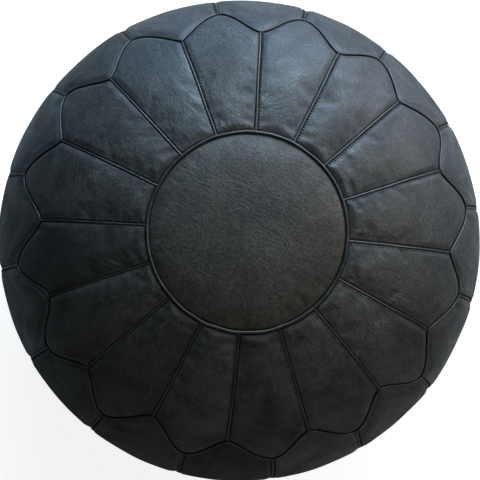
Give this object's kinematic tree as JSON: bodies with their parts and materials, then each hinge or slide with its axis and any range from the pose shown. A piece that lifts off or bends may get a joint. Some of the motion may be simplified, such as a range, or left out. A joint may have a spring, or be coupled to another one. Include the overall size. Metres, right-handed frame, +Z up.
{
  "type": "leather pouf",
  "caption": "Round stuffed leather pouf with a domed petal top round a centre disc, piped side panels and a flat zipped base.",
  "frame": {"origin": "centre of the pouf's footprint, on the floor", "axes": "+Z up along the pouf's axis; +X along the zip in the base, towards its closed end"},
  "size_m": [0.53, 0.53, 0.33],
  "materials": {
    "leather": "waxed black full-grain leather, hand dyed, with creases",
    "piping": "thin folded leather over cord, edges slightly burnished",
    "zip_tape": "black herringbone woven tape",
    "zip_coil": "black nylon",
    "zip_metal": "antiqued brass, rubbed on the edges",
    "lining": "unbleached cotton calico",
    "stuffing": "packed cotton flock"
  },
  "bodies": {
    "pouf": {"top_disc": "leather", "top_ring_piping": "piping", "petal_01": "leather", "petal_02": "leather", "petal_03": "leather", "petal_04": "leather", "petal_05": "leather", "petal_06": "leather", "petal_07": "leather", "petal_08": "leather", "petal_09": "leather", "petal_10": "leather", "petal_11": "leather", "petal_12": "leather", "petal_13": "leather", "petal_14": "leather", "petal_15": "leather", "petal_16": "leather", "petal_piping": "piping", "scallop_piping": "piping", "side_panel_01": "leather", "side_panel_02": "leather", "side_panel_03": "leather", "side_panel_04": "leather", "side_panel_05": "leather", "side_panel_06": "leather", "side_panel_07": "leather", "side_panel_08": "leather", "side_panel_09": "leather", "side_panel_10": "leather", "side_panel_11": "leather", "side_panel_12": "leather", "side_panel_13": "leather", "side_panel_14": "leather", "side_panel_15": "leather", "side_panel_16": "leather", "side_piping": "piping", "base_ring_piping": "piping", "base_half_left": "leather", "base_half_right": "leather", "zip_end_tab_top": "leather", "zip_end_tab_bottom": "leather", "zip_tape_left": "zip_tape", "zip_tape_right": "zip_tape", "zip_coil_left": "zip_coil", "zip_coil_right": "zip_coil", "zip_top_stops": "zip_metal", "zip_bottom_stop": "zip_metal", "lining": "lining", "stuffing": "stuffing"},
    "zip_slider": {"zip_slider": "zip_metal"},
    "zip_pull": {"zip_pull": "zip_metal"}
  },
  "joints": [
    {"name": "zip_slide", "type": "slide", "parent": "pouf", "child": "zip_slider", "axis": [-1, 0, 0], "range_m": [0, 0.236], "deforming": ["zip_coil_left", "zip_coil_right"]},
    {"name": "pull_flip", "type": "hinge", "parent": "zip_slider", "child": "zip_pull", "pos_m": [0.11981, 0, 0.0029], "axis": [0, -1, 0], "range_deg": [0, 165]}
  ]
}
